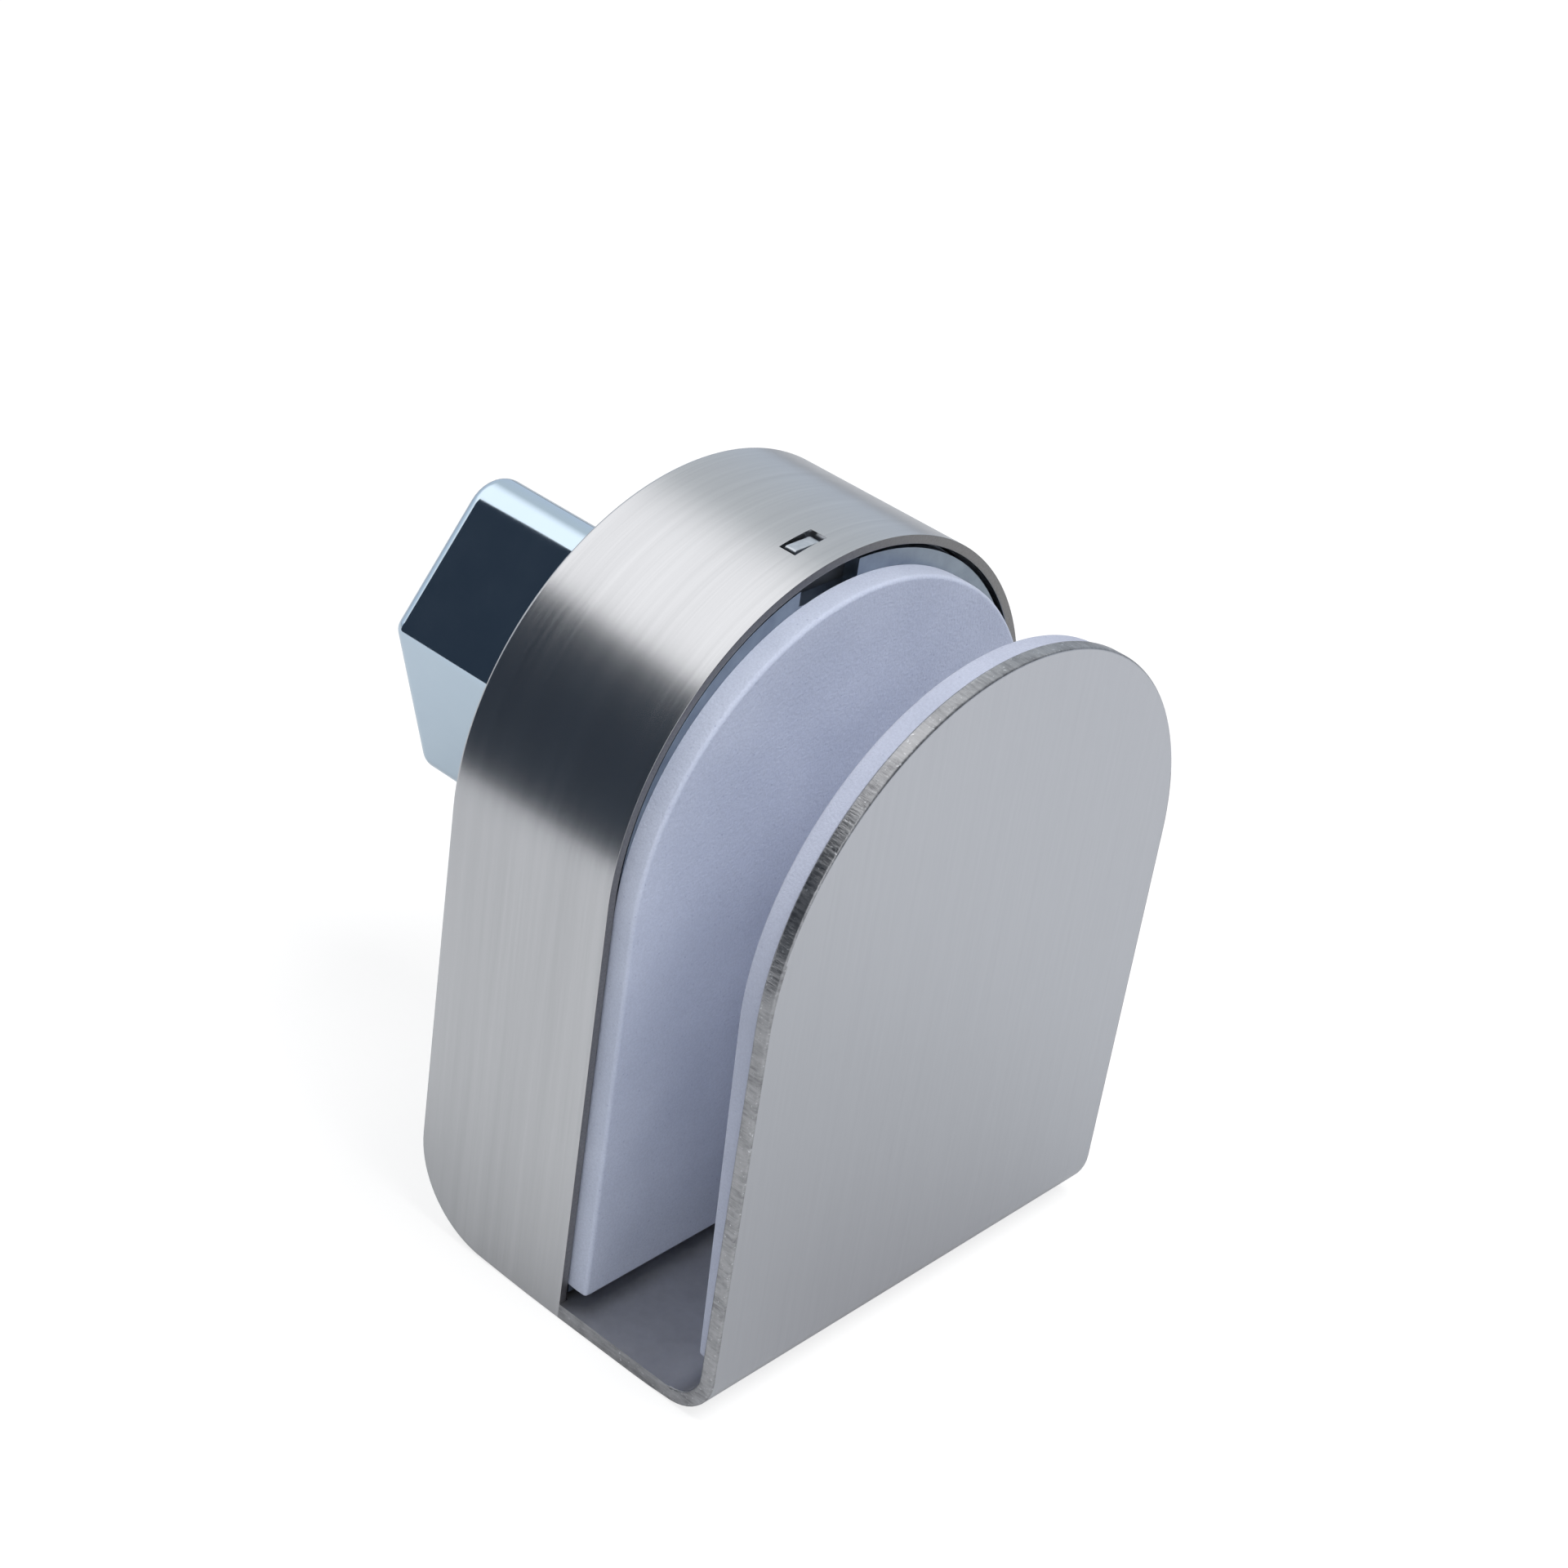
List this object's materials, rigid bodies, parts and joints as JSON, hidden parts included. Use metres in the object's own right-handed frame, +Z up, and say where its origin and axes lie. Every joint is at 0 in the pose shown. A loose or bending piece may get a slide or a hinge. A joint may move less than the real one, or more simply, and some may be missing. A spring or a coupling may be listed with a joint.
{
  "type": "glass door floor lock",
  "caption": "Clamp-on floor lock for the lower edge of a frameless glass door, with padded jaws, a brushed steel cover and a pointed, five-sided chrome knob that shoots a bolt downwards.",
  "frame": {"origin": "on the flat underside, midway between the front plate's inner face and the cover's rim, on the middle of the width", "axes": "+X along the door's lower edge, +Y through the glass towards the knob, +Z up"},
  "size_m": [0.052, 0.0623, 0.07],
  "materials": {
    "brushed_steel": "brushed",
    "zinc_plate": "satin zinc plating",
    "foam": "matte foam",
    "chrome": "mirror",
    "steel": "machined",
    "brass": "machined"
  },
  "bodies": {
    "lock": {"clamp_bracket": "brushed_steel", "cover": "brushed_steel", "front_pad": "foam", "threaded_bushes": "brass", "bolt_guide": "zinc_plate", "rack_guide": "zinc_plate", "guide_screws": "steel", "pillars": "steel", "bearing_plate": "zinc_plate", "plate_screws": "steel", "spindle_bush": "brass", "friction_washer": "steel"},
    "clamp": {"pressure_plate": "zinc_plate", "back_pad": "foam", "guide_studs": "zinc_plate", "clamp_screws": "steel"},
    "turning": {"knob": "chrome", "knob_screw": "steel", "spindle": "steel", "pinion": "steel"},
    "sliding": {"bolt": "steel", "rack": "steel", "rack_screws": "steel"}
  },
  "joints": [
    {"name": "knob_turn", "type": "hinge", "parent": "lock", "child": "turning", "pos_m": [0, 0.03, 0.046], "axis": [0, -1, 0], "range_deg": [0, 180]},
    {"name": "bolt_slide", "type": "slide", "parent": "lock", "child": "sliding", "axis": [0, 0, -1], "range_m": [0, 0.0163]},
    {"name": "clamp_slide", "type": "slide", "parent": "lock", "child": "clamp", "axis": [0, -1, 0], "range_m": [0, 0.003]}
  ],
  "couplings": [
    {"joint": "knob_turn", "follows": "bolt_slide", "rad_per_m": 192.31}
  ]
}
